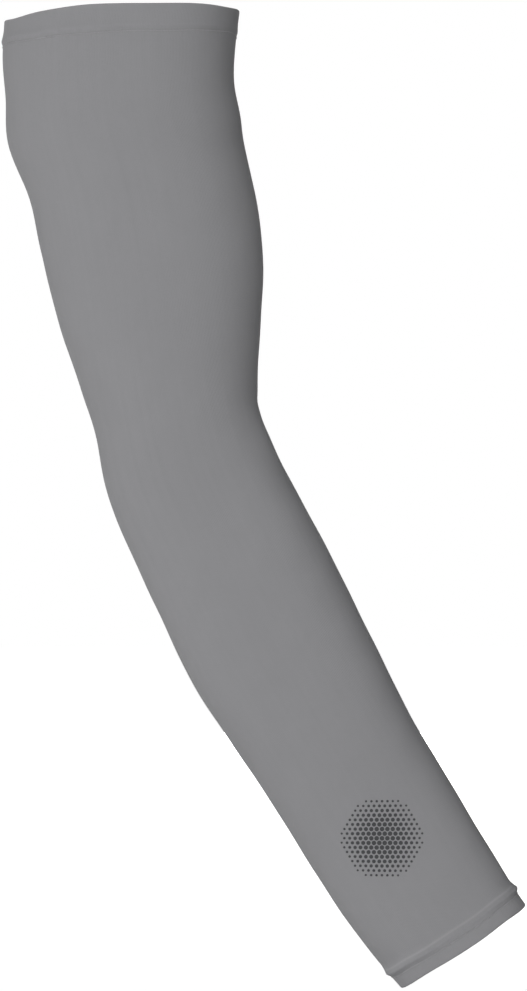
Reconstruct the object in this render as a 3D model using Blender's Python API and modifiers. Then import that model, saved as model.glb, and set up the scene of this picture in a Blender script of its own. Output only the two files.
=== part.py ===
"""Arm compression sleeve, in the form that it has on a bent arm.

The sleeve is a tapered knitted tube with a folded hem at each end. Its centreline starts at the centre of the
upper opening, which is the origin, runs down the upper arm, turns at the elbow and runs out along the forearm.
+Z is up, +X is the side that the forearm points to, and the arm bends in the XZ plane.
"""

import math
from collections import namedtuple

import bpy
import numpy as np

# Lengths along the centreline, in metres
UPPER_ARM_LENGTH = 0.180
FOREARM_LENGTH = 0.2195

# Angles in degrees: the upper arm's lean from upright, and how far the forearm turns from it
UPPER_ARM_LEAN = 7.5
ELBOW_BEND = 24.5

# Widths across the arm in the plane of its bend, and depths square to that plane
UPPER_WIDTH = 0.0924
UPPER_DEPTH = 0.0880
ELBOW_WIDTH = 0.0653
ELBOW_DEPTH = 0.0700
FOREARM_WIDTH = 0.0715
FOREARM_DEPTH = 0.0620
WRIST_WIDTH = 0.0616
WRIST_DEPTH = 0.0430

# The knit, and the hems, which are two layers of it
KNIT_WALL = 0.0012
UPPER_HEM_HEIGHT = 0.0105
WRIST_HEM_HEIGHT = 0.0058
SEAM_GAP = 0.0003

# The ridge that the stitched edge of each hem raises: it climbs slowly from above and drops at the stitches.
# Its lean is the share by which it is higher at the crook side and lower at the elbow side.
UPPER_RIDGE_HEIGHT = 0.0005
UPPER_RIDGE_LEAN = -0.4
WRIST_RIDGE_HEIGHT = 0.0012
WRIST_RIDGE_LEAN = 0.2
RIDGE_CLIMB = 0.0042
RIDGE_DROP = 0.0022

# Faces around the tube, and rows of them along each stretch of it
AROUND = 40
TUBE_ROWS = 40
CLIMB_ROWS = 3
HEM_ROWS = 5
FOLD_ROWS = 4
CENTRELINE_STEPS = 2000

# One row for each section of the arm. place is 0 at the upper rim, 1 at the elbow and 2 at the wrist rim.
# turned is the share of the elbow's bend that the centreline has turned by. shift is how far the section lies off
# the centreline towards the crook, as a share of its width. fullness is 2 for an oval, and more for an oval with
# flatter sides.
Section = namedtuple("Section", "name place turned width depth shift fullness")
SECTIONS = (
    Section("upper rim", 0.000, -0.19, 1.007 * UPPER_WIDTH, 1.000 * UPPER_DEPTH, 0.003, 2.35),
    Section("foot of the upper hem", 0.080, -0.18, 0.995 * UPPER_WIDTH, 0.995 * UPPER_DEPTH, -0.018, 2.35),
    Section("below the upper hem", 0.160, -0.16, 0.979 * UPPER_WIDTH, 0.985 * UPPER_DEPTH, -0.023, 2.3),
    Section("triceps", 0.255, -0.06, 1.003 * UPPER_WIDTH, 0.980 * UPPER_DEPTH, -0.018, 2.3),
    Section("below the triceps", 0.330, 0.20, 0.957 * UPPER_WIDTH, 0.960 * UPPER_DEPTH, 0.003, 2.3),
    Section("biceps", 0.475, 0.17, 0.946 * UPPER_WIDTH, 0.930 * UPPER_DEPTH, 0.002, 2.3),
    Section("biceps belly", 0.600, 0.06, 0.909 * UPPER_WIDTH, 0.900 * UPPER_DEPTH, -0.004, 2.3),
    Section("below the biceps", 0.690, -0.01, 0.853 * UPPER_WIDTH, 0.865 * UPPER_DEPTH, -0.011, 2.25),
    Section("above the elbow", 0.810, 0.01, 1.078 * ELBOW_WIDTH, 1.040 * ELBOW_DEPTH, -0.010, 2.25),
    Section("crook", 0.905, 0.15, 1.001 * ELBOW_WIDTH, 0.990 * ELBOW_DEPTH, -0.004, 2.35),
    Section("elbow", 1.000, 0.43, 1.032 * ELBOW_WIDTH, 0.935 * ELBOW_DEPTH, -0.008, 2.5),
    Section("below the elbow", 1.085, 0.73, 0.965 * FOREARM_WIDTH, 1.000 * FOREARM_DEPTH, -0.001, 2.6),
    Section("upper forearm", 1.210, 0.79, 0.993 * FOREARM_WIDTH, 1.000 * FOREARM_DEPTH, -0.001, 2.6),
    Section("forearm belly", 1.335, 0.82, 1.001 * FOREARM_WIDTH, 0.985 * FOREARM_DEPTH, -0.008, 2.55),
    Section("below the forearm belly", 1.460, 0.89, 0.961 * FOREARM_WIDTH, 0.945 * FOREARM_DEPTH, -0.003, 2.5),
    Section("mid forearm", 1.600, 0.95, 0.910 * FOREARM_WIDTH, 0.875 * FOREARM_DEPTH, 0.002, 2.4),
    Section("lower forearm", 1.740, 1.02, 1.042 * WRIST_WIDTH, 1.090 * WRIST_DEPTH, -0.001, 2.35),
    Section("above the wrist hem", 1.925, 1.07, 1.000 * WRIST_WIDTH, 1.000 * WRIST_DEPTH, -0.003, 2.35),
    Section("wrist hem", 1.974, 1.07, 0.976 * WRIST_WIDTH, 0.960 * WRIST_DEPTH, 0.005, 2.35),
    Section("wrist rim", 2.000, 1.07, 0.965 * WRIST_WIDTH, 0.955 * WRIST_DEPTH, 0.013, 2.35),
)

SLEEVE_LENGTH = UPPER_ARM_LENGTH + FOREARM_LENGTH
UPPER_SEAM = UPPER_HEM_HEIGHT
WRIST_SEAM = SLEEVE_LENGTH - WRIST_HEM_HEIGHT


def clear_scene():
    """Empties the scene of its objects."""
    for obj in list(bpy.data.objects):
        bpy.data.objects.remove(obj)


def length_at(place):
    """Length along the centreline of a section's place."""
    return UPPER_ARM_LENGTH * min(place, 1.0) + FOREARM_LENGTH * max(place - 1.0, 0.0)


def column(name, along):
    """Smooth curve through one column of the sections, read at the lengths along the centreline."""
    knots = np.array([length_at(section.place) for section in SECTIONS])
    values = np.array([getattr(section, name) for section in SECTIONS])
    spans = np.diff(knots)
    chords = np.diff(values) / spans
    slopes = np.empty_like(values)
    slopes[1:-1] = (spans[1:] * chords[:-1] + spans[:-1] * chords[1:]) / (spans[:-1] + spans[1:])
    slopes[0] = chords[0]
    slopes[-1] = chords[-1]
    span = np.clip(np.searchsorted(knots, along, side="right") - 1, 0, len(spans) - 1)
    t = (along - knots[span]) / spans[span]
    start = (1 + 2 * t) * (1 - t) ** 2 * values[span] + t * (1 - t) ** 2 * spans[span] * slopes[span]
    end = t**2 * (3 - 2 * t) * values[span + 1] - t**2 * (1 - t) * spans[span] * slopes[span + 1]
    return start + end


def lean_at(along):
    """The centreline's lean from upright, in radians."""
    return np.radians(UPPER_ARM_LEAN + ELBOW_BEND * column("turned", along))


def centreline(along):
    """X and Z of the centreline: the sum of its lean from the upper rim down."""
    steps = np.linspace(0.0, SLEEVE_LENGTH, CENTRELINE_STEPS)
    lean = lean_at(steps)
    middle = (lean[1:] + lean[:-1]) / 2
    span = steps[1]
    x = np.concatenate([[0.0], np.cumsum(np.sin(middle)) * span])
    z = np.concatenate([[0.0], -np.cumsum(np.cos(middle)) * span])
    return np.interp(along, steps, x), np.interp(along, steps, z)


def ridge(along, seam):
    """Share of a hem's ridge: 0 far from the seam, 1 at the crest just above it."""
    past = along - (seam - RIDGE_DROP)
    share = np.where(past < 0, -past / RIDGE_CLIMB, past / RIDGE_DROP)
    return np.cos(np.pi / 2 * np.clip(share, 0.0, 1.0)) ** 2


def skin(along, lift):
    """Rings of points round the sleeve, one ring for each length along the centreline, raised by lift."""
    along = np.asarray(along)[:, None]
    lift = np.asarray(lift)[:, None]
    turn = np.linspace(0.0, 2 * math.pi, AROUND, endpoint=False)[None, :]
    upper = UPPER_RIDGE_HEIGHT * (1 + UPPER_RIDGE_LEAN * np.cos(turn)) * ridge(along, UPPER_SEAM)
    wrist = WRIST_RIDGE_HEIGHT * (1 + WRIST_RIDGE_LEAN * np.cos(turn)) * ridge(along, WRIST_SEAM)
    raised = lift + np.where(lift < 0, 0.0, upper + wrist)
    width = column("width", along) / 2
    depth = column("depth", along) / 2
    fullness = column("fullness", along)
    cosine, sine = np.cos(turn), np.sin(turn)
    across = np.sign(cosine) * np.abs(cosine) ** (2 / fullness)
    back = np.sign(sine) * np.abs(sine) ** (2 / fullness)
    # The outline's own normal, from the slope of the oval
    out_across = np.sign(across) * np.abs(across) ** (fullness - 1) / width
    out_back = np.sign(back) * np.abs(back) ** (fullness - 1) / depth
    length = np.hypot(out_across, out_back)
    across = (across + 2 * column("shift", along)) * width + raised * out_across / length
    back = back * depth + raised * out_back / length
    lean = lean_at(along)
    x, z = centreline(along)
    return np.stack([x + across * np.cos(lean), back, z + across * np.sin(lean)], axis=-1)


def loft(name, rings, closed):
    """Mesh object through rings of points. A closed loft joins its last ring to its first."""
    rows, around = rings.shape[:2]
    faces = []
    for row in range(rows if closed else rows - 1):
        below = (row + 1) % rows
        for step in range(around):
            beside = (step + 1) % around
            corners = (row, step), (below, step), (below, beside), (row, beside)
            faces.append([ring * around + place for ring, place in corners])
    mesh = bpy.data.meshes.new(name)
    mesh.from_pydata(rings.reshape(-1, 3).tolist(), [], faces)
    mesh.validate()
    mesh.shade_smooth()
    mesh.set_sharp_from_angle(angle=math.radians(40))
    return bpy.data.objects.new(name, mesh)


def material(name, colour, roughness):
    """Plain fabric: a Principled surface of one colour."""
    made = bpy.data.materials.new(name)
    made.use_nodes = True
    surface = made.node_tree.nodes["Principled BSDF"]
    surface.inputs["Base Color"].default_value = (*colour, 1.0)
    surface.inputs["Roughness"].default_value = roughness
    surface.inputs["Metallic"].default_value = 0.0
    return made


def knit_tube():
    """The tube between the two hems: its outer skin, with the knit's wall inside it."""
    crest = WRIST_SEAM - RIDGE_DROP
    plain = np.linspace(UPPER_SEAM + SEAM_GAP / 2, crest - RIDGE_CLIMB, TUBE_ROWS, endpoint=False)
    climb = np.linspace(crest - RIDGE_CLIMB, crest, CLIMB_ROWS + 1)
    along = np.concatenate([plain, climb, [crest + RIDGE_DROP / 2, WRIST_SEAM - SEAM_GAP / 2]])
    tube = loft("knit_tube", skin(along, np.zeros(len(along))), closed=False)
    wall = tube.modifiers.new("wall", "SOLIDIFY")
    wall.thickness = KNIT_WALL
    wall.offset = -1.0
    wall.use_even_offset = True
    return tube


def hem(name, outer, fold, outwards):
    """A hem: the knit folded back inside itself at the rim. outer is its outside, from the seam to the fold."""
    angle = np.linspace(0.0, math.pi, FOLD_ROWS + 1)[1:-1]
    turned = fold + outwards * KNIT_WALL * np.sin(angle)
    inner = np.linspace(fold, outer[0], HEM_ROWS + 1)
    along = np.concatenate([outer, turned, inner])
    fold_lift = KNIT_WALL * (np.cos(angle) - 1)
    lift = np.concatenate([np.zeros_like(outer), fold_lift, np.full_like(inner, -2 * KNIT_WALL)])
    rings = skin(along, lift)
    return loft(name, rings if outwards > 0 else rings[::-1], closed=True)


def upper_hem():
    """The hem at the upper opening, which holds its own ridge."""
    fold = KNIT_WALL
    crest = UPPER_SEAM - RIDGE_DROP
    outer = np.concatenate(
        [[UPPER_SEAM - SEAM_GAP / 2, crest + RIDGE_DROP / 2], np.linspace(crest, fold, HEM_ROWS + 1)]
    )
    return hem("upper_hem", outer, fold, -1.0)


def wrist_hem():
    """The hem at the wrist, which starts below the ridge."""
    fold = SLEEVE_LENGTH - KNIT_WALL
    outer = np.linspace(WRIST_SEAM + SEAM_GAP / 2, fold, HEM_ROWS + 1)
    return hem("wrist_hem", outer, fold, 1.0)


def main():
    """Builds the sleeve's three pieces."""
    clear_scene()
    collection = bpy.data.collections.new("arm_compression_sleeve")
    bpy.context.scene.collection.children.link(collection)
    knit = material("grey knit", (0.245, 0.245, 0.250), 0.85)
    hem_knit = material("grey hem knit", (0.245, 0.245, 0.250), 0.85)
    pieces = (
        (knit_tube(), knit),
        (upper_hem(), hem_knit),
        (wrist_hem(), hem_knit),
    )
    for piece, finish in pieces:
        piece.data.materials.append(finish)
        collection.objects.link(piece)


main()
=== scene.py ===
import math

import bpy
import numpy as np
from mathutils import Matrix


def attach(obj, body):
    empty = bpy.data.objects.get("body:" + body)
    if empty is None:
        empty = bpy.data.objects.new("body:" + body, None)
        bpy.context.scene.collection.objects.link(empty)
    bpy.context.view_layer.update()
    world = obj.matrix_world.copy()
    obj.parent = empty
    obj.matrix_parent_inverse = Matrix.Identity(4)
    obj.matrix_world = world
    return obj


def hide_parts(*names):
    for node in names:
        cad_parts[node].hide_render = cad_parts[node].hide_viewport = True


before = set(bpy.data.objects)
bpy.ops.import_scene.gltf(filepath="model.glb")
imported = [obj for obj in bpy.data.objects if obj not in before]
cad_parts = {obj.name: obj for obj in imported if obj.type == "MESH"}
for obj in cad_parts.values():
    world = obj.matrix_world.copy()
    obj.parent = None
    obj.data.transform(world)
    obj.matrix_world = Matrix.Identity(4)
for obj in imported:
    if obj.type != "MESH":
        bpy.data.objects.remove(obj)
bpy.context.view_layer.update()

scene = bpy.context.scene
print("frame loaded:", ", ".join(sorted(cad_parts)))

# The camera stands level in front of the sleeve, as in the photo
camera = {
    "aimX": 0.0562,
    "aimZ": -0.1896,
    "distance": 1.8,
    "seenHeight": 0.39216,  # height of the sleeve's own plane that fills the picture, in metres
    "clip": (0.05, 50),  # nearest and furthest that it sees
}


def addCamera():
    data = bpy.data.cameras.new("photoCamera")
    data.lens = data.sensor_width * camera["distance"] / camera["seenHeight"]
    data.clip_start, data.clip_end = camera["clip"]
    obj = bpy.data.objects.new("photoCamera", data)
    obj.location = (camera["aimX"], -camera["distance"], camera["aimZ"])
    obj.rotation_euler = (math.pi / 2, 0, 0)
    scene.collection.objects.link(obj)
    scene.camera = obj


addCamera()
print("camera set")

# The sleeve's form. One row for each section of the arm: length along the centreline in mm, lean from upright in
# degrees, width and depth in mm, shift towards the crook as a share of the width, and fullness, which is 2 for an
# oval and more for an oval with flatter sides.
sections = np.array([
    (0.00, 2.85, 93.0, 88.0, 0.003, 2.35),  # upper rim
    (14.40, 3.09, 91.9, 87.6, -0.018, 2.35),
    (28.80, 3.58, 90.5, 86.7, -0.023, 2.30),
    (45.90, 6.03, 92.7, 86.2, -0.018, 2.30),  # triceps
    (59.40, 12.40, 88.4, 84.5, 0.003, 2.30),
    (85.50, 11.67, 87.4, 81.8, 0.002, 2.30),  # biceps
    (108.00, 8.97, 84.0, 79.2, -0.004, 2.30),
    (124.20, 7.26, 78.8, 76.1, -0.011, 2.25),
    (145.80, 7.75, 70.4, 72.8, -0.010, 2.25),
    (162.90, 11.18, 65.4, 69.3, -0.004, 2.35),  # crook
    (180.00, 18.04, 67.4, 65.5, -0.008, 2.50),  # elbow
    (198.66, 25.39, 69.0, 62.0, -0.001, 2.60),
    (226.10, 26.86, 71.0, 62.0, -0.001, 2.60),
    (253.53, 27.59, 71.6, 61.1, -0.008, 2.55),  # forearm's belly
    (280.97, 29.31, 68.7, 58.6, -0.003, 2.50),
    (311.70, 30.78, 65.1, 54.3, 0.002, 2.40),
    (342.43, 32.49, 64.2, 46.9, -0.001, 2.35),
    (383.04, 33.72, 61.6, 43.0, -0.003, 2.35),
    (393.79, 33.72, 60.1, 41.3, 0.005, 2.35),
    (399.50, 33.72, 59.4, 41.1, 0.013, 2.35),  # wrist rim
])
sections[:, [0, 2, 3]] *= 0.001
tableColumn = {"lean": 1, "width": 2, "depth": 3, "shift": 4, "fullness": 5}

sleeve = {
    "wall": 0.0012,
    "upperHem": 0.0105,  # from the rim to the stitches
    "wristHem": 0.0058,
    "seamWander": 0.00018,  # how far the stitched line strays up and down
    "edgeRound": 0.00010,
    "upperRidge": (0.0005, -0.4),  # height, and the share by which it is higher at the crook side
    "wristRidge": (0.0013, 0.2),
    "ridgeClimb": 0.0042,
    "ridgeDrop": 0.0022,
    "ridgeUneven": (0.12, 0.08),  # shares of its height by which two waves round the sleeve change it
    "frontLow": (0.3, 0.85),  # share by which the upper and the wrist ridge are lower at the front
    "frontSpan": (283, 62),  # middle and half width of that low part, in degrees
    "crease": (0.00035, 0.0035),  # depth and half width of the shallow fold in the crook of the elbow
    "creasePlace": (0.160, 0.022),  # how far down it lies in the crook, and how much higher a quarter turn away
    "creaseSpan": (0, 42),
    "swell": (0.0011, 0.0150),  # height and half width of the forearm's swelling
    "swellBelow": 0.018,  # how far below the fold
    "swellSpan": (340, 17),
    "softWaves": 0.00010,  # the long, faint unevenness of cloth over muscle
    # Each of its waves: radians for a metre down, waves round the sleeve, start, and share
    "waveTable": ((75, 2, 0.4, 1.0), (131, -3, 1.9, 0.8), (262, 5, 4.1, 0.5)),
    "seamBand": 0.00022,  # how proud the closing seam stands at the back
    "seamBandHalf": 0.0027,
    "seamBandSoft": 0.0009,  # width over which it rises
}
sleeveLength = sections[-1, 0]
back, front = math.pi / 2, math.pi * 1.5


def smoothColumn(name, along):
    # Cubic through the table's rows; the slope at a row is the mean of the chords beside it, the nearer counting more
    knots, values = sections[:, 0], sections[:, tableColumn[name]]
    spans = np.diff(knots)
    chords = np.diff(values) / spans
    inner = (spans[1:] * chords[:-1] + spans[:-1] * chords[1:]) / (spans[:-1] + spans[1:])
    slopes = np.concatenate([chords[:1], inner, chords[-1:]])
    span = np.clip(np.searchsorted(knots, along, side="right") - 1, 0, len(spans) - 1)
    width = spans[span]
    t = (along - knots[span]) / width
    start = (1 + 2 * t) * (1 - t) ** 2 * values[span] + t * (1 - t) ** 2 * width * slopes[span]
    return start + t**2 * (3 - 2 * t) * values[span + 1] - t**2 * (1 - t) * width * slopes[span + 1]


def centrelineTable(count=2000, past=0.006):
    # Sums short steps down the centreline, each leaning by the table's angle, from a little above the upper rim to a
    # little below the wrist's
    steps = np.linspace(-past, sleeveLength + past, count)
    lean = np.radians(smoothColumn("lean", np.clip(steps, 0, sleeveLength)))
    middle = (lean[1:] + lean[:-1]) / 2
    x = np.concatenate([[0], np.cumsum(np.sin(middle) * np.diff(steps))])
    z = np.concatenate([[0], -np.cumsum(np.cos(middle) * np.diff(steps))])
    return steps, x - np.interp(0, steps, x), z - np.interp(0, steps, z)


centreSteps, centreX, centreZ = centrelineTable()


def bump(distance, half, soft):
    # 1 within half of the middle, falling to 0 over soft, as a smooth step
    t = np.clip((half + soft / 2 - np.abs(distance)) / soft, 0, 1)
    return t * t * (3 - 2 * t)


def hump(turn, middle, half):
    # Smooth hump round the sleeve: 1 at its middle in degrees, about a third of that one half width away
    return np.exp((np.cos(turn - math.radians(middle)) - 1) / (1 - math.cos(math.radians(half))))


def waver(turn, *waves):
    # Sum of sine waves round the sleeve, each given by its number of waves, its start and its share
    return sum(share * np.sin(count * turn + start) for count, start, share in waves)


def relief(along, turn, halfWidth, power):
    # Long sine waves, the flat band of the closing seam down the back, and a shallow fold round the crook with a
    # swelling below it, both bell curves that lie higher the further they are from the crook's middle
    waves = 0
    for down, around, start, share in sleeve["waveTable"]:
        waves = waves + share * np.sin(along * down + around * turn + start)
    side = halfWidth * np.abs(np.cos(turn)) ** (2 / power)
    band = np.where(np.sin(turn) > 0, bump(side, sleeve["seamBandHalf"], sleeve["seamBandSoft"]), 0)
    place, climb = sleeve["creasePlace"]
    past = along - place + climb * (1 - np.cos(turn))
    depth, wide = sleeve["crease"]
    crease = depth * np.exp(-((past / wide) ** 2)) * hump(turn, *sleeve["creaseSpan"])
    height, wide = sleeve["swell"]
    below = past - sleeve["swellBelow"]
    swell = height * np.exp(-((below / wide) ** 2)) * hump(turn, *sleeve["swellSpan"])
    return sleeve["softWaves"] * waves + sleeve["seamBand"] * band + swell - crease


def skin(along, turn, lift):
    # A point of the sleeve: across the centreline it is the oval |x/a|^n + |y/b|^n = 1 at the angle turn, which is 0 at
    # the crook side and a quarter turn at the back, moved out along the oval's own normal by lift and the relief
    along, turn, lift = np.broadcast_arrays(along, turn, lift)
    a, b = smoothColumn("width", along) / 2, smoothColumn("depth", along) / 2
    power = smoothColumn("fullness", along)
    cosine, sine = np.cos(turn), np.sin(turn)
    across = np.sign(cosine) * np.abs(cosine) ** (2 / power)
    deep = np.sign(sine) * np.abs(sine) ** (2 / power)
    outAcross = np.sign(across) * np.abs(across) ** (power - 1) / a
    outDeep = np.sign(deep) * np.abs(deep) ** (power - 1) / b
    size = np.hypot(outAcross, outDeep)
    out = lift + relief(along, turn, a, power)
    across = (across + 2 * smoothColumn("shift", along)) * a + out * outAcross / size
    deep = deep * b + out * outDeep / size
    lean = np.radians(smoothColumn("lean", along))
    x = np.interp(along, centreSteps, centreX) + across * np.cos(lean)
    z = np.interp(along, centreSteps, centreZ) + across * np.sin(lean)
    return np.stack([x, deep, z], axis=-1)


def skinFrame(along, turn, lift):
    # The point, and the unit normal from small steps down and round the sleeve
    step, turned = 0.00005, 0.001
    down = skin(along + step, turn, lift) - skin(along - step, turn, lift)
    sideways = skin(along, turn + turned, lift) - skin(along, turn - turned, lift)
    normal = np.cross(down, sideways)
    return skin(along, turn, lift), normal / np.linalg.norm(normal, axis=-1, keepdims=True)


def upperSeam(turn):
    # The upper hem's height, strayed by two sine waves
    return sleeve["upperHem"] + sleeve["seamWander"] * waver(turn, (5, 0.7, 1), (11, 2.2, 0.6))


def wristSeam(turn):
    # The same, counted up from the wrist rim
    return sleeveLength - sleeve["wristHem"] + sleeve["seamWander"] * waver(turn, (4, 1.1, 1), (9, 0.3, 0.6))


def ridge(along, turn, seam, size, frontLow, wobble):
    # Climbs to its crest just above the stitches by the power 1.5, and drops to nothing at them by the squared cosine;
    # two waves round the sleeve make it uneven, and a hump makes it lower at the front
    height, leaning = size
    past = along - (seam - sleeve["ridgeDrop"])
    share = np.clip(np.where(past < 0, -past / sleeve["ridgeClimb"], past / sleeve["ridgeDrop"]), 0, 1)
    shape = np.where(past < 0, (1 - share) ** 1.5, np.cos(math.pi / 2 * share) ** 2)
    few, many = sleeve["ridgeUneven"]
    uneven = 1 + waver(turn, (7, wobble, few), (17, 2 * wobble, many))
    low = 1 - frontLow * hump(turn, *sleeve["frontSpan"])
    return height * (1 + leaning * np.cos(turn)) * uneven * low * shape


def outside(along, turn):
    # Height of both stitched ridges over the plain knit
    upperLow, wristLow = sleeve["frontLow"]
    return (ridge(along, turn, upperSeam(turn), sleeve["upperRidge"], upperLow, 1.0)
            + ridge(along, turn, wristSeam(turn), sleeve["wristRidge"], wristLow, 2.3))


def columnsRound(count, fan=14, fanDegrees=6):
    # Angles once round from the back seam, with closer ones over the seam's band
    edge = math.radians(fanDegrees)
    near = np.linspace(0, edge, fan + 1)
    far = np.linspace(edge, 2 * math.pi - edge, count + 1)
    return back + np.concatenate([near[:-1], far[:-1], 2 * math.pi - near[:0:-1]])


def arc(share, offset, lift, start, end, radius, count=4):
    # Rounded edge of a profile: centre plus radius (cos, sin), from one angle in degrees to another
    angle = np.radians(np.linspace(start, end, count))
    offsets, lifts = offset + radius * np.cos(angle), lift + radius * np.sin(angle)
    return np.stack([np.full(count, float(share)), offsets, lifts], axis=1)


def run(shares, lift):
    # Straight stretch of a profile at one height
    return np.stack([shares, 0 * shares, 0 * shares + lift], axis=1)


def carryRound(profile, turns, first, last):
    # The profile's share lies between two lines round the sleeve, its offset is added along it, its lift moves out;
    # what is on the outer face also gets the ridges
    share, offset, lift = (profile[:, column, None] for column in range(3))
    along = first(turns) + (last(turns) - first(turns)) * share + offset
    raised = lift + np.where(lift > -1e-9, outside(along, turns), 0)
    return skin(along, turns[None, :], raised), along


def clothMap(points, along, turns, row):
    # Map in metres: across is the distance round the plain form from the front's middle, down is the distance down the
    # cloth, counted so that it is the length along the centreline at the given row
    plain = skin(along, turns[None, :], 0)
    ring = np.linalg.norm(np.roll(plain, -1, axis=1) - plain, axis=-1)
    across = np.concatenate([np.zeros((len(points), 1)), np.cumsum(ring, axis=1)], axis=1)
    middle = points.shape[1] // 2
    across -= across[:, middle:middle + 1]
    rows = np.linalg.norm(np.roll(points, -1, axis=0) - points, axis=-1).mean(axis=1)
    down = np.concatenate([[0], np.cumsum(rows)])
    down += along[row].mean() - down[row]
    across = np.concatenate([across, across[:1]])
    return np.stack([across, np.broadcast_to(down[:, None], across.shape)], axis=-1)


def gridObject(name, points, uv, materials, slots):
    # One four-sided face for each pair of neighbouring rows and columns, closed round both ways
    rows, columns = points.shape[:2]
    index = np.arange(rows * columns).reshape(rows, columns)
    below = np.roll(index, -1, axis=0)
    corners = np.stack([index, below, np.roll(below, -1, axis=1), np.roll(index, -1, axis=1)], axis=-1)
    mesh = bpy.data.meshes.new(name)
    mesh.from_pydata(points.reshape(-1, 3).tolist(), [], corners.reshape(-1, 4).tolist())
    cornerUv = np.stack([uv[:-1, :-1], uv[1:, :-1], uv[1:, 1:], uv[:-1, 1:]], axis=2)
    mesh.uv_layers.new(name="clothMap").data.foreach_set("uv", cornerUv.ravel())
    for material in materials:
        mesh.materials.append(material)
    mesh.polygons.foreach_set("material_index", np.repeat(slots, columns).astype(np.int32))
    mesh.shade_smooth()
    obj = bpy.data.objects.new(name, mesh)
    scene.collection.objects.link(obj)
    return obj


def threadObject(name, paths, material, sides=6):
    # A circle carried along each path: path + radius (cos side + sin up), where side is the tangent crossed with up
    angle = np.linspace(0, 2 * math.pi, sides, endpoint=False)[None, :, None]
    vertices, faces, maps, first = [], [], [], 0
    for path, up, radius, closed in paths:
        along = np.roll(path, -1, axis=0) - np.roll(path, 1, axis=0) if closed else np.gradient(path, axis=0)
        side = np.cross(along, up)
        side /= np.linalg.norm(side, axis=-1, keepdims=True)
        over = np.cross(side, along)
        over /= np.linalg.norm(over, axis=-1, keepdims=True)
        ring = path[:, None] + radius * (np.cos(angle) * side[:, None] + np.sin(angle) * over[:, None])
        index = first + np.arange(len(path) * sides).reshape(-1, sides)
        below = np.roll(index, -1, axis=0)
        corners = np.stack([index, below, np.roll(below, -1, axis=1), np.roll(index, -1, axis=1)], axis=-1)
        used = len(path) if closed else len(path) - 1
        lengths = np.linalg.norm(np.diff(path, axis=0, append=path[:1]), axis=-1)
        distance = np.concatenate([[0], np.cumsum(lengths)])
        u = np.linspace(0, 1, sides + 1)
        uv = np.stack(np.broadcast_arrays(u[None, :], distance[:, None] * 1000), axis=-1)
        cornerUv = np.stack([uv[:used, :-1], uv[1:used + 1, :-1], uv[1:used + 1, 1:], uv[:used, 1:]], axis=2)
        maps.append(cornerUv.reshape(-1, 2))
        faces += corners[:used].reshape(-1, 4).tolist()
        if not closed:
            faces += [index[0].tolist(), index[-1, ::-1].tolist()]
            maps.append(np.zeros((2 * sides, 2)))
        vertices.append(ring.reshape(-1, 3))
        first += ring.shape[0] * sides
    mesh = bpy.data.meshes.new(name)
    mesh.from_pydata(np.concatenate(vertices).tolist(), [], faces)
    mesh.uv_layers.new(name="threadMap").data.foreach_set("uv", np.concatenate(maps).ravel())
    mesh.materials.append(material)
    mesh.shade_smooth()
    obj = bpy.data.objects.new(name, mesh)
    scene.collection.objects.link(obj)
    return obj


def calc(tree, operation, *values):
    # One Math node; a value is a number or another node's output
    node = tree.nodes.new("ShaderNodeMath")
    node.operation = operation
    for socket, value in zip(node.inputs, values):
        if isinstance(value, bpy.types.NodeSocket):
            tree.links.new(value, socket)
        else:
            socket.default_value = value
    return node.outputs[0]


def mapUv(tree, layer):
    # Across and along of a piece's own map, in metres
    uv = tree.nodes.new("ShaderNodeUVMap")
    uv.uv_map = layer
    split = tree.nodes.new("ShaderNodeSeparateXYZ")
    tree.links.new(uv.outputs[0], split.inputs[0])
    return split.outputs[0], split.outputs[1]


def noise(tree, x, y, scaleX, scaleY, seed, detail=2.0):
    # Noise over the map, stretched by its two scales; the output runs from about -1 to 1
    join = tree.nodes.new("ShaderNodeCombineXYZ")
    tree.links.new(calc(tree, "MULTIPLY", x, scaleX), join.inputs[0])
    tree.links.new(calc(tree, "MULTIPLY", y, scaleY), join.inputs[1])
    join.inputs[2].default_value = seed
    texture = tree.nodes.new("ShaderNodeTexNoise")
    texture.inputs["Scale"].default_value = 1
    texture.inputs["Detail"].default_value = detail
    tree.links.new(join.outputs[0], texture.inputs["Vector"])
    return calc(tree, "MULTIPLY_ADD", texture.outputs[0], 4.0, -2.0)


def newMaterial(name):
    material = bpy.data.materials.new(name)
    material.use_nodes = True
    return material, material.node_tree, material.node_tree.nodes["Principled BSDF"]


def tint(tree, shader, colour, factor):
    # The colour times a factor that varies over the piece
    scale = tree.nodes.new("ShaderNodeVectorMath")
    scale.operation = "SCALE"
    scale.inputs[0].default_value = colour
    tree.links.new(factor, scale.inputs["Scale"])
    tree.links.new(scale.outputs[0], shader.inputs["Base Color"])


def raiseBy(tree, shader, height):
    # Bump with its height in millimetres
    node = tree.nodes.new("ShaderNodeBump")
    node.inputs["Strength"].default_value = 1
    node.inputs["Distance"].default_value = 0.001
    tree.links.new(height, node.inputs["Height"])
    tree.links.new(node.outputs[0], shader.inputs["Normal"])


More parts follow.
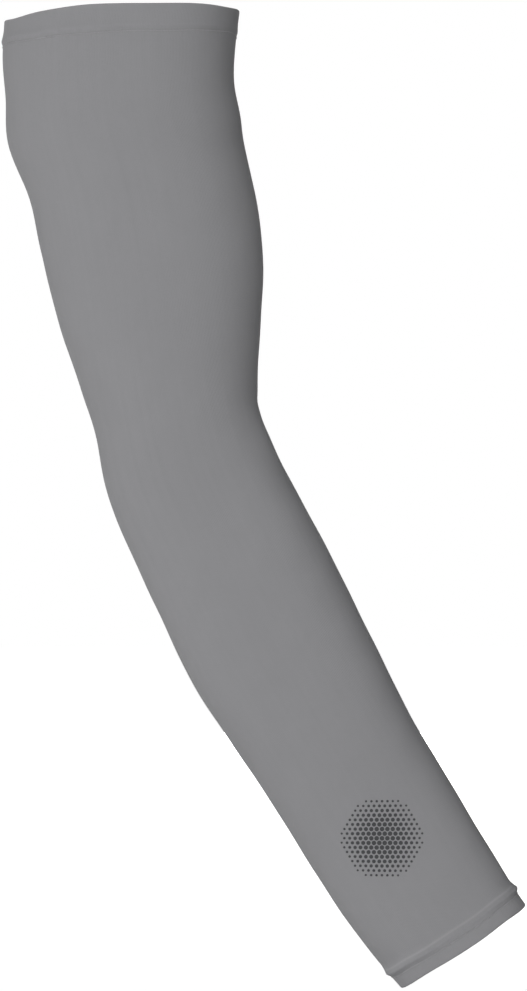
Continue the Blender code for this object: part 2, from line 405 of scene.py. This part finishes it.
# The knit's finish: lengths in metres, heights in millimetres
knit = {
    "colour": (0.2445, 0.2440, 0.2525),
    "reverseLighter": 1.08,
    "wale": 0.00062,  # one column of stitches
    "course": 0.00046,  # one row of stitches
    "stray": (90, 0.10),  # scale of the columns' wander, and its share of a column
    "bend": {"face": 1.1, "reverse": -0.9},  # how far each row is bent into a V
    "loops": {"face": (0.40, -0.60), "reverse": (0.75, -0.25)},  # how much rows and columns make a stitch's height
    "stitchHeight": 0.025,
    "grooveShade": 0.028,  # painted shade: how much darker it is between the stitches
    "fuzz": (2600, 0.012),  # scale and height of the fibres
    "lumps": (210, 260, 0.03),  # scales across and along, and height, of uneven stitches
    "mottle": (55, 40, 0.020),  # scales and strength of wide patches
    "streak": (520, 9, 0.012),  # the same for faint lines down the wales
    "roughness": (0.88, 0.03),  # and how much the patches change it
    "specular": 0.25,
    "sheen": 0.05,
    "sheenRoughness": 0.45,
    "stitchPitch": 0.0026,
    "pucker": (0.03, 0.0022),  # height and half width of the small gathers beside the hem's stitches
    "gatherStray": 0.7,
    "crest": (0.022, 0.16),  # painted highlight: how much lighter the top of the upper and of the wrist hem's ridge is
    "crestHalf": 0.0005,
    "paintedShade": (0.010, 0.0),  # painted shade: how much darker it is just below that
    "paintedShadeHalf": 0.0009,
    "rimHighlight": (0.10, 0.0002, 0.0006),  # strength, place and half width of the painted highlight along the upper rim
}


def lineOver(tree, along, place, half):
    # 1 on a line across the cloth, falling off as a bell curve
    away = calc(tree, "DIVIDE", calc(tree, "SUBTRACT", along, place), half)
    return calc(tree, "EXPONENT", calc(tree, "MULTIPLY", calc(tree, "MULTIPLY", away, away), -1.0))


def knitMaterial(name, side="face", seams=()):
    # Stitch columns are cosines across the map; each row's cosine is bent into a V by the distance from its column.
    # The reverse has rounder loops, the other way up. Colour follows the height, with painted shade between the
    # stitches, and wide noise and long streaks. Bell curves across the cloth place the gathers, a painted highlight on
    # each ridge's crest, painted shade just below it at each seam, and a painted highlight along the upper rim.
    material, tree, shader = newMaterial(name)
    across, along = mapUv(tree, "clothMap")
    scale, share = knit["stray"]
    stray = noise(tree, across, along, scale, scale, seed=3.1, detail=1.0)
    wale = calc(tree, "MULTIPLY_ADD", stray, share, calc(tree, "DIVIDE", across, knit["wale"]))
    fold = calc(tree, "PINGPONG", wale, 0.5)
    column = calc(tree, "COSINE", calc(tree, "MULTIPLY", wale, 2 * math.pi))
    bend = calc(tree, "MULTIPLY", fold, knit["bend"][side])
    row = calc(tree, "ADD", calc(tree, "DIVIDE", along, knit["course"]), bend)
    row = calc(tree, "COSINE", calc(tree, "MULTIPLY", row, 2 * math.pi))
    rowShare, columnShare = knit["loops"][side]
    loops = calc(tree, "MULTIPLY_ADD", row, rowShare, calc(tree, "MULTIPLY", column, columnShare))
    scale, tall = knit["fuzz"]
    fuzz = noise(tree, across, along, scale, scale, seed=7.7)
    height = calc(tree, "MULTIPLY_ADD", fuzz, tall, calc(tree, "MULTIPLY", loops, knit["stitchHeight"]))
    wide, long, tall = knit["lumps"]
    lumps = noise(tree, across, along, wide, long, seed=1.3)
    height = calc(tree, "MULTIPLY_ADD", lumps, tall, height)
    tall, half = knit["pucker"]
    for seam in seams:
        turns = calc(tree, "MULTIPLY", across, 2 * math.pi / knit["stitchPitch"])
        turns = calc(tree, "MULTIPLY_ADD", stray, knit["gatherStray"], turns)
        gather = calc(tree, "MULTIPLY", calc(tree, "COSINE", turns), lineOver(tree, along, seam, half))
        height = calc(tree, "MULTIPLY_ADD", gather, tall, height)
    raiseBy(tree, shader, height)
    wide, long, patches = knit["mottle"]
    mottle = noise(tree, across, along, wide, long, seed=5.5, detail=3.0)
    wide, long, lines = knit["streak"]
    streak = noise(tree, across, along, wide, long, seed=2.9)
    # Painted shade: darker between the stitches, following the loops' height
    factor = calc(tree, "MULTIPLY_ADD", loops, knit["grooveShade"], 1.0)
    factor = calc(tree, "MULTIPLY_ADD", mottle, patches, factor)
    factor = calc(tree, "MULTIPLY_ADD", streak, lines, factor)
    # Painted highlight on each hem ridge's crest, and painted shade just below it at the seam
    for seam, crest, paintedShade in zip(seams, knit["crest"], knit["paintedShade"]):
        highlightLine = lineOver(tree, along, seam - sleeve["ridgeDrop"], knit["crestHalf"])
        factor = calc(tree, "MULTIPLY_ADD", highlightLine, crest, factor)
        factor = calc(tree, "MULTIPLY_ADD", lineOver(tree, along, seam, knit["paintedShadeHalf"]), -paintedShade, factor)
    # Painted highlight along the upper rim's fold
    if seams:
        highlight, place, half = knit["rimHighlight"]
        factor = calc(tree, "MULTIPLY_ADD", lineOver(tree, along, place, half), highlight, factor)
    if side == "reverse":
        factor = calc(tree, "MULTIPLY", factor, knit["reverseLighter"])
    tint(tree, shader, knit["colour"], factor)
    rough, change = knit["roughness"]
    tree.links.new(calc(tree, "MULTIPLY_ADD", mottle, change, rough), shader.inputs["Roughness"])
    shader.inputs["Specular IOR Level"].default_value = knit["specular"]
    shader.inputs["Sheen Weight"].default_value = knit["sheen"]
    shader.inputs["Sheen Roughness"].default_value = knit["sheenRoughness"]
    return material


thread = {
    "colour": (0.272, 0.271, 0.280),
    "twist": 0.55,  # millimetres of thread to one turn of its plies
    "ply": (0.025, 0.08),  # height of a ply, and how much lighter its top is, as a painted highlight
    "fibre": (0.01, 0.05),  # the same for its fibres, also a painted highlight on their tops
    "roughness": 0.8,
    "sheen": 0.08,
}


def threadMaterial():
    # Slanted stripes round the thread, as two plies twist, with the plies' and fibres' tops painted lighter as
    # highlights
    material, tree, shader = newMaterial("greyThread")
    sideways, along = mapUv(tree, "threadMap")
    turns = calc(tree, "ADD", calc(tree, "MULTIPLY", sideways, 2.0), calc(tree, "DIVIDE", along, thread["twist"]))
    ply = calc(tree, "COSINE", calc(tree, "MULTIPLY", turns, 2 * math.pi))
    fibre = noise(tree, sideways, along, 6, 5, seed=4.0)
    plyHeight, plyHighlight = thread["ply"]
    fibreHeight, fibreHighlight = thread["fibre"]
    raiseBy(tree, shader, calc(tree, "MULTIPLY_ADD", fibre, fibreHeight, calc(tree, "MULTIPLY", ply, plyHeight)))
    # Painted highlight on the tops of the plies and fibres
    factor = calc(tree, "MULTIPLY_ADD", ply, plyHighlight, calc(tree, "MULTIPLY_ADD", fibre, fibreHighlight, 1.0))
    tint(tree, shader, thread["colour"], factor)
    shader.inputs["Roughness"].default_value = thread["roughness"]
    shader.inputs["Sheen Weight"].default_value = thread["sheen"]
    return material


greyKnit = knitMaterial("greyKnit", seams=(sleeve["upperHem"], sleeveLength - sleeve["wristHem"]))
greyKnitReverse = knitMaterial("greyKnitReverse", side="reverse")
greyThread = threadMaterial()
print("knit and thread materials made")

tube = {
    "columns": 236,
    "endRows": (0.003, 9, 0.012, 12),  # fine rows to the first distance from each end, then to the second
    "bodyRows": 186,
    "insideRows": 84,
    "flat": (0.236, 0.416),  # the cut before it was sewn and stretched over an arm: greatest width, and length
    "flatArea": 0.0785,
}


def makeTube():
    # Profile: down the outside, round the lower edge, up the inside and round the upper edge
    near, nearRows, far, farRows = tube["endRows"]
    length = sleeveLength - sleeve["upperHem"] - sleeve["wristHem"]
    start = np.concatenate([np.linspace(0, near, nearRows)[1:], np.linspace(near, far, farRows)[1:-1]]) / length
    body = np.linspace(far / length, 1 - far / length, tube["bodyRows"])
    outer = np.concatenate([start, body, 1 - start[::-1]])
    inner = np.linspace(1, 0, tube["insideRows"])[1:-1]
    edge, wall = sleeve["edgeRound"], sleeve["wall"]
    parts = [
        arc(0, edge, -edge, 180, 90, edge), run(outer, 0.0), arc(1, -edge, -edge, 90, 0, edge),
        arc(1, -edge, edge - wall, 0, -90, edge), run(inner, -wall), arc(0, edge, edge - wall, -90, -180, edge),
    ]
    profile = np.concatenate(parts)
    turns = columnsRound(tube["columns"])
    points, along = carryRound(profile, turns, upperSeam, wristSeam)
    shown = len(parts[0]) + len(parts[1]) + len(parts[2])
    slots = np.where(np.arange(len(profile)) < shown, 0, 1)
    uv = clothMap(points, along, turns, len(parts[0]))
    return gridObject("knitTube", points, uv, [greyKnit, greyKnitReverse], slots)


knitTube = makeTube()
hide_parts("knit_tube")
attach(knitTube, "root")
print("tube made,", len(knitTube.data.polygons), "faces")

hem = {
    "columns": 300,
    "outsideRows": {"upper": 26, "wrist": 16},
    "insideRows": 16,
    "foldRows": 17,
    "rawEdge": 0.0012,  # how far the turned-in layer runs past the stitches
    "clearance": 0.00003,
    "fold": 0.0007,  # how far the fold's round reaches down from the rim
    "foldSquare": 0.7,  # 1 for an oval round, less for sharper corners
    "rimWander": 0.00010,
    # Places where a rim sags, or rises for a negative one: how far, middle and half width in degrees
    "upperSags": ((-0.0009, 260, 18), (0.0012, 209, 18), (0.0008, 334, 20)),
    "wristTucks": ((0.0006, 242, 26), (0.00036, 306, 18)),  # the same, counted up from the wrist
}


def sagging(turn, places):
    # Sum of smooth humps round the rim
    return sum(far * hump(turn, middle, half) for far, middle, half in places)


def upperRim(turn):
    # The rim's slight waver; it stands higher at the front's left and sags a little at both sides
    return hem["rimWander"] * waver(turn, (3, 0.5, 1)) + sagging(turn, hem["upperSags"])


def wristRim(turn):
    # The same at the wrist, tucked up at two places of the front
    return sleeveLength + hem["rimWander"] * waver(turn, (4, 2.0, 1)) - sagging(turn, hem["wristTucks"])


hemRims = {"upper": upperRim, "wrist": wristRim}
hemSeams = {"upper": upperSeam, "wrist": wristSeam}


def makeHem(name, end):
    # Two layers: the outside, the fold round the rim, and the turned-in layer that ends in a raw edge under the tube
    edge, wall, raw = sleeve["edgeRound"], sleeve["wall"], hem["rawEdge"]
    height, fold = sleeve[end + "Hem"], hem["fold"]
    under = -wall - hem["clearance"]
    outer = np.linspace(fold / height, 1 - edge / height, hem["outsideRows"][end])
    inner = np.linspace(1, fold / height, hem["insideRows"])
    foldArc = arc(0, 0, 0, -90, -270, 1, hem["foldRows"])
    foldArc[:, 1:] = np.sign(foldArc[:, 1:]) * np.abs(foldArc[:, 1:]) ** hem["foldSquare"]
    foldArc = foldArc * np.array([0, fold, wall]) + np.array([0, fold, -wall])  # the round is pressed flat
    parts = [
        run(inner, -2 * wall), foldArc[1:], run(outer[1:], 0.0),
        arc(1, -edge, -edge, 90, 0, edge)[1:], np.array([(1, 0, under)]),
        arc(1, raw - edge, under - edge, 90, 0, edge), arc(1, raw - edge, edge - 2 * wall, 0, -90, edge),
    ]
    profile = np.concatenate(parts)
    turns = columnsRound(hem["columns"])
    row = len(parts[0]) + len(parts[1])
    if end == "wrist":  # mirrored and run backwards, so that the faces still point outwards
        profile = profile[::-1] * np.array([1, -1, 1])
        row = len(profile) - row - 1
    points, along = carryRound(profile, turns, hemRims[end], hemSeams[end])
    uv = clothMap(points, along, turns, row)
    return gridObject(name, points, uv, [greyKnit], np.zeros(len(profile)))


upperHem = makeHem("upperHem", "upper")
wristHem = makeHem("wristHem", "wrist")
for piece, node in ((upperHem, "upper_hem"), (wristHem, "wrist_hem")):
    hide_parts(node)
    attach(piece, "root")
print("hems made")

stitches = {
    "pitch": knit["stitchPitch"],
    "radius": 0.00015,
    "sides": 8,
    "girth": {"upper": 0.291, "wrist": 0.170},
    "rise": 0.00018,  # how far a stitch stands above the needle holes
    "depth": 0.00010,  # how far the holes pull the thread in
    "points": 10,  # along one stitch
    "looperPoints": 12,
    "looperReach": 0.0017,
    "looperStep": 0.0004,  # length over which it steps down at the raw edge
    "looperLift": 0.00012,
    "looperWave": 0.00004,
    "inward": {"upper": 1, "wrist": -1},  # which way along the sleeve the tube lies
}


def needleRow(end):
    # The thread follows the stitched line and dips at each needle hole, by the eighth power of the way from a
    # stitch's middle
    count = int(round(stitches["girth"][end] / stitches["pitch"]))
    turn = back + np.linspace(0, 2 * math.pi, count * stitches["points"], endpoint=False)
    phase = (turn - back) * count / (2 * math.pi) % 1
    lift = stitches["rise"] * (1 - (2 * phase - 1) ** 8) - stitches["depth"]
    path, up = skinFrame(hemSeams[end](turn), turn, lift)
    return path, up, stitches["radius"], True


def looperRow(end, shift):
    # A zigzag over the raw edge, on the inside: it steps down from the turned-in layer to the tube's own wall
    count = int(round(stitches["girth"][end] / stitches["pitch"]))
    turn = back + np.linspace(0, 2 * math.pi, count * stitches["looperPoints"], endpoint=False)
    phase = ((turn - back) * count / (2 * math.pi) + shift) % 1
    swing = stitches["looperReach"] * (1 - 2 * np.abs(2 * phase - 1))
    step = stitches["looperStep"]
    t = np.clip((hem["rawEdge"] + step / 2 - swing) / step, 0, 1)
    lift = -sleeve["wall"] * (1 + t * t * (3 - 2 * t)) - stitches["looperLift"]
    lift = lift + stitches["looperWave"] * np.sin(phase * 4 * math.pi)
    path, up = skinFrame(hemSeams[end](turn) + stitches["inward"][end] * swing, turn, lift)
    return path, -up, stitches["radius"], True


backSeam = {
    "endGap": 0.0015,  # from each rim to the threads' ends
    "needleSide": 0.0019,  # from the seam's middle to each needle row
    "needlePitch": 0.0024,
    "needleRadius": 0.00013,
    "rise": 0.00013,
    "depth": 0.00008,
    "needlePoints": 6,  # along one stitch
    "coverReach": 0.0018,
    "coverPitch": 0.0018,
    "coverRadius": 0.00011,
    "coverLift": 0.00006,
    "coverPoints": 8,
}


def backLine(along, side):
    # Turn whose point lies the given distance to the side of the back's middle line
    half, power = smoothColumn("width", along) / 2, smoothColumn("fullness", along)
    return np.arccos(np.sign(side) * (np.abs(side) / half) ** (power / 2))


def backSteps(pitch, points):
    # Even steps from rim to rim, and the way through the stitch at each, from 0 to 1
    gap = backSeam["endGap"]
    length = sleeveLength - 2 * gap
    count = int(round(length / pitch))
    along = np.linspace(gap, sleeveLength - gap, count * points + 1)
    return along, (along - gap) / length * count % 1


def backRow(side):
    # A straight needle row of the closing seam; it dips at each hole by the sixth power
    along, phase = backSteps(backSeam["needlePitch"], backSeam["needlePoints"])
    lift = backSeam["rise"] * (1 - (2 * phase - 1) ** 6) - backSeam["depth"] + outside(along, back)
    path, up = skinFrame(along, backLine(along, np.full(along.shape, side)), lift)
    return path, up, backSeam["needleRadius"], False


def backZigzag(reach):
    # The cover thread of the closing seam, a triangle wave across the band; no point lies on the very middle
    along, phase = backSteps(backSeam["coverPitch"], backSeam["coverPoints"])
    side = reach * (1 - 2 * np.abs(2 * phase - 1))
    side = np.where(np.abs(side) < 1e-7, 1e-7, side)
    path, up = skinFrame(along, backLine(along, side), backSeam["coverLift"] + outside(along, back))
    return path, up, backSeam["coverRadius"], False


needleSide = backSeam["needleSide"]
sewing = [
    threadObject("upperHemStitches", [needleRow("upper")], greyThread, stitches["sides"]),
    threadObject("wristHemStitches", [needleRow("wrist")], greyThread, stitches["sides"]),
    threadObject("upperHemLooper", [looperRow("upper", 0.0), looperRow("upper", 0.5)], greyThread),
    threadObject("wristHemLooper", [looperRow("wrist", 0.0), looperRow("wrist", 0.5)], greyThread),
    threadObject("backSeamNeedle", [backRow(-needleSide), backRow(needleSide)], greyThread),
    threadObject("backSeamCover", [backZigzag(backSeam["coverReach"])], greyThread),
]
for piece in sewing:
    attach(piece, "root")
print("stitches made")

# A plain round patch of printed dots on the forearm, smaller towards its edge
dots = {
    "centre": (0.1025, -0.3235),  # x and z on the front
    "radius": 0.0165,
    "pitch": 0.0021,
    "dot": (0.00100, 0.00042),  # radius of a dot in the middle and at the edge
    "sides": 14,
    "height": 0.00007,
    "shoulder": (0.78, 0.9),  # the ring where a dot begins to fall: share of its radius, and of its height
    "sunk": 0.4,  # share of its height by which a dot's edge lies in the knit
    "colour": (0.046, 0.047, 0.050),
    "paintedShade": (0.85, 0.30),  # painted shade in the grain's low parts: factor of the colour where the grain is lowest, and how much it gains to the highest
    "grain": (1500, 0.05),  # scale and height
    "roughness": 0.7,
    "specular": 0.2,
}


def pressOnFront(x, z, start=0.34, rounds=14):
    # Length along and turn of the front's point at each x and z, by Newton's steps on both at once
    along, turn = np.full(x.shape, start), np.full(x.shape, front)
    step, turned = 1e-5, 1e-4
    mostAlong, mostTurn = 0.03, 0.3
    for _ in range(rounds):
        here = skin(along, turn, 0)
        down = (skin(along + step, turn, 0) - here) / step
        side = (skin(along, turn + turned, 0) - here) / turned
        missX, missZ = x - here[..., 0], z - here[..., 2]
        size = down[..., 0] * side[..., 2] - down[..., 2] * side[..., 0]
        further = (missX * side[..., 2] - missZ * side[..., 0]) / size
        turnFurther = (down[..., 0] * missZ - down[..., 2] * missX) / size
        along = along + np.clip(further, -mostAlong, mostAlong)
        turn = turn + np.clip(turnFurther, -mostTurn, mostTurn)
    return along, turn


def makeDots():
    # Each dot is a low dome: a middle point, a ring at nearly full height and a ring sunk into the knit. The dots stand
    # in rows shifted by half a pitch, and shrink by the square of the way to the patch's edge.
    pitch, reach, sides = dots["pitch"], dots["radius"], dots["sides"]
    rows = int(reach / pitch) + 2
    row, column = np.meshgrid(np.arange(-rows, rows + 1), np.arange(-rows, rows + 1), indexing="ij")
    x = (column + 0.5 * (row % 2)) * pitch
    z = row * pitch * math.sqrt(0.75)
    away = np.hypot(x, z)
    inner, outer = dots["dot"]
    keep = away < reach - outer
    x, z, share = x[keep], z[keep], (away[keep] / reach) ** 2
    size = inner + (outer - inner) * share
    angle = np.linspace(0, 2 * math.pi, sides, endpoint=False)
    angle = np.concatenate([[0.0], angle, angle])
    wide, tall = dots["shoulder"]
    spread = np.concatenate([[0.0], np.full(sides, wide), np.full(sides, 1.0)])
    rise = np.concatenate([[1.0], np.full(sides, tall), np.full(sides, -dots["sunk"])]) * dots["height"]
    px = dots["centre"][0] + x[:, None] + size[:, None] * spread * np.cos(angle)
    pz = dots["centre"][1] + z[:, None] + size[:, None] * spread * np.sin(angle)
    along, turn = pressOnFront(px, pz)
    points, normal = skinFrame(along, turn, 0.0)
    points = points + normal * rise[None, :, None]
    ring = np.arange(sides)
    beside = np.roll(ring, -1)
    caps = np.stack([0 * ring, 1 + ring, 1 + beside], axis=1)
    skirts = np.stack([1 + ring, 1 + sides + ring, 1 + sides + beside, 1 + beside], axis=1)
    first = (np.arange(len(x)) * (1 + 2 * sides))[:, None, None]
    faces = (first + caps).reshape(-1, 3).tolist() + (first + skirts).reshape(-1, 4).tolist()
    mesh = bpy.data.meshes.new("printedDots")
    mesh.from_pydata(points.reshape(-1, 3).tolist(), [], faces)
    material, tree, shader = newMaterial("darkPrint")
    place = tree.nodes.new("ShaderNodeTexCoord").outputs["Object"]
    grain = tree.nodes.new("ShaderNodeTexNoise")
    grain.inputs["Scale"].default_value, grainHeight = dots["grain"]
    tree.links.new(place, grain.inputs["Vector"])
    raiseBy(tree, shader, calc(tree, "MULTIPLY", grain.outputs[0], grainHeight))
    # Painted shade: the ink is darker where its grain lies low
    least, gain = dots["paintedShade"]
    tint(tree, shader, dots["colour"], calc(tree, "MULTIPLY_ADD", grain.outputs[0], gain, least))
    shader.inputs["Roughness"].default_value = dots["roughness"]
    shader.inputs["Specular IOR Level"].default_value = dots["specular"]
    mesh.materials.append(material)
    mesh.shade_smooth()
    obj = bpy.data.objects.new("printedDots", mesh)
    scene.collection.objects.link(obj)
    return obj


printedDots = makeDots()
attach(printedDots, "root")
print("print made,", len(printedDots.data.polygons), "faces")

# Plain pale floor, some way under the sleeve, which an arm would hold up
floor = {
    "height": -0.45,
    "half": 6.0,
    "colour": (0.86, 0.86, 0.86),
    "cloud": (3, 0.02),  # scale and strength of its faint patches
    "roughness": 0.9,
    "specular": 0.1,
    "glow": (0.40, 1.0),  # near the sleeve and far off, so that the floor stays white to its edge
    "glowFrom": 0.45,
    "glowTo": 1.2,
}


def addFloor():
    half, z = floor["half"], floor["height"]
    mesh = bpy.data.meshes.new("floor")
    mesh.from_pydata([(-half, -half, z), (half, -half, z), (half, half, z), (-half, half, z)], [], [(0, 1, 2, 3)])
    material, tree, shader = newMaterial("paleFloor")
    place = tree.nodes.new("ShaderNodeTexCoord").outputs["Object"]
    cloud = tree.nodes.new("ShaderNodeTexNoise")
    cloud.inputs["Scale"].default_value, patches = floor["cloud"]
    tree.links.new(place, cloud.inputs["Vector"])
    tint(tree, shader, floor["colour"], calc(tree, "MULTIPLY_ADD", cloud.outputs[0], patches, 1 - patches / 2))
    shader.inputs["Roughness"].default_value = floor["roughness"]
    shader.inputs["Specular IOR Level"].default_value = floor["specular"]
    shader.inputs["Emission Color"].default_value = (1, 1, 1, 1)
    away = tree.nodes.new("ShaderNodeVectorMath")
    away.operation = "LENGTH"
    tree.links.new(place, away.inputs[0])
    share = tree.nodes.new("ShaderNodeMapRange")
    share.inputs["From Min"].default_value = floor["glowFrom"]
    share.inputs["From Max"].default_value = floor["glowTo"]
    share.inputs["To Min"].default_value, share.inputs["To Max"].default_value = floor["glow"]
    tree.links.new(away.outputs["Value"], share.inputs["Value"])
    tree.links.new(share.outputs[0], shader.inputs["Emission Strength"])
    mesh.materials.append(material)
    obj = bpy.data.objects.new("floor", mesh)
    obj.visible_diffuse = False  # the floor throws no light back on the sleeve
    obj.visible_shadow = False  # a light that reaches under the floor's edge still lights the sleeve
    scene.collection.objects.link(obj)


addFloor()

# Soft studio lights: bearing round the sleeve from the camera (left is negative), height angle, distance, size, watts
lights = {
    "leftSoft": (-90, 5, 2.6, 2.2, 13.3),
    "leftLowSoft": (-90, -30, 2.6, 2.2, 30),
    "leftBackSoft": (-120, 0, 2.6, 2.2, 13.1),
    "frontSoft": (0, 8, 3.0, 2.2, 85),
    "rightSoft": (40, 10, 2.8, 2.2, 9.2),
    "backSoft": (180, 0, 3.2, 1.6, 60),
    "backTopSoft": (-150, 76, 2.6, 1.6, 9),  # reaches down into the upper opening
}


def addLights():
    for name, (bearing, tilt, distance, size, watts) in lights.items():
        data = bpy.data.lights.new(name, "AREA")
        data.shape, data.size, data.energy = "DISK", size, watts
        obj = bpy.data.objects.new(name, data)
        a, t = math.radians(bearing), math.radians(tilt)
        away = np.array([math.sin(a) * math.cos(t), -math.cos(a) * math.cos(t), math.sin(t)])
        aim = np.array([camera["aimX"], 0, camera["aimZ"]])
        obj.location = aim + away * distance
        obj.rotation_euler = (math.pi / 2 - t, 0, a)
        obj.visible_camera = False
        scene.collection.objects.link(obj)


addLights()
world = bpy.data.worlds.new("paleWorld")
scene.world = world
world.use_nodes = True
world.node_tree.nodes["Background"].inputs["Color"].default_value = (1, 1, 1, 1)
world.node_tree.nodes["Background"].inputs["Strength"].default_value = 1.0
world.cycles_visibility.diffuse = False  # a backdrop only; the sleeve is lit by the lights alone
world.cycles_visibility.glossy = False
scene.view_settings.view_transform = "Standard"
scene.view_settings.look = "None"
print("floor, lights and world set")
